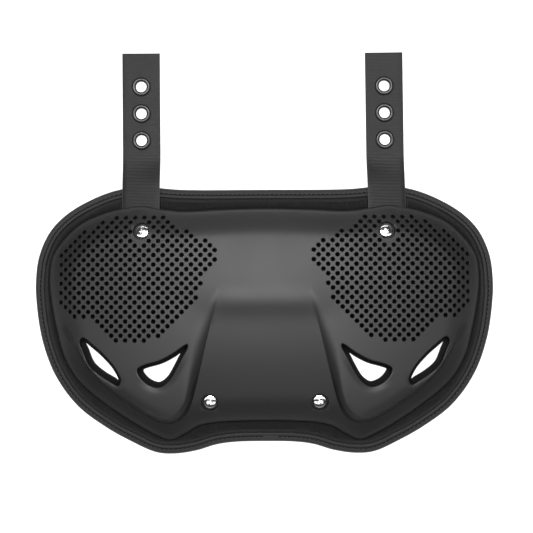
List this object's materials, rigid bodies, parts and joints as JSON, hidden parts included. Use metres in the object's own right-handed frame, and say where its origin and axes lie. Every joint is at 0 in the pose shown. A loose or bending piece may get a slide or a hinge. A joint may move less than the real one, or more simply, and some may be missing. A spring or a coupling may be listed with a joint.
{
  "type": "football back plate",
  "caption": "Moulded vented back plate on a bound foam pad, with flat eyelet straps that hang it below shoulder pads.",
  "frame": {"origin": "middle of the overall box, on the surface that the plate lies on", "axes": "+X to the plate's right seen from the front, +Y towards the strap ends, +Z out of the front"},
  "size_m": [0.3402, 0.2981, 0.0406],
  "materials": {
    "shell_plastic": "satin moulded black polyethylene",
    "pad_fabric": "black knitted fabric over foam",
    "binding_tape": "dark grey folded tape, sewn",
    "strap_webbing": "finely ribbed coated webbing, satin",
    "eyelet_black": "gloss black",
    "screw_chrome": "bright plated, domed",
    "post_steel": "plain plated steel"
  },
  "bodies": {
    "root": {"shell": "shell_plastic", "pad": "pad_fabric", "binding": "binding_tape", "strap_left": "strap_webbing", "strap_right": "strap_webbing", "eyelet_left_1": "eyelet_black", "eyelet_left_2": "eyelet_black", "eyelet_left_3": "eyelet_black", "eyelet_right_1": "eyelet_black", "eyelet_right_2": "eyelet_black", "eyelet_right_3": "eyelet_black", "screw_top_left": "screw_chrome", "screw_top_right": "screw_chrome", "screw_bottom_left": "screw_chrome", "screw_bottom_right": "screw_chrome", "post_top_left": "post_steel", "post_top_right": "post_steel", "post_bottom_left": "post_steel", "post_bottom_right": "post_steel"}
  },
  "joints": []
}
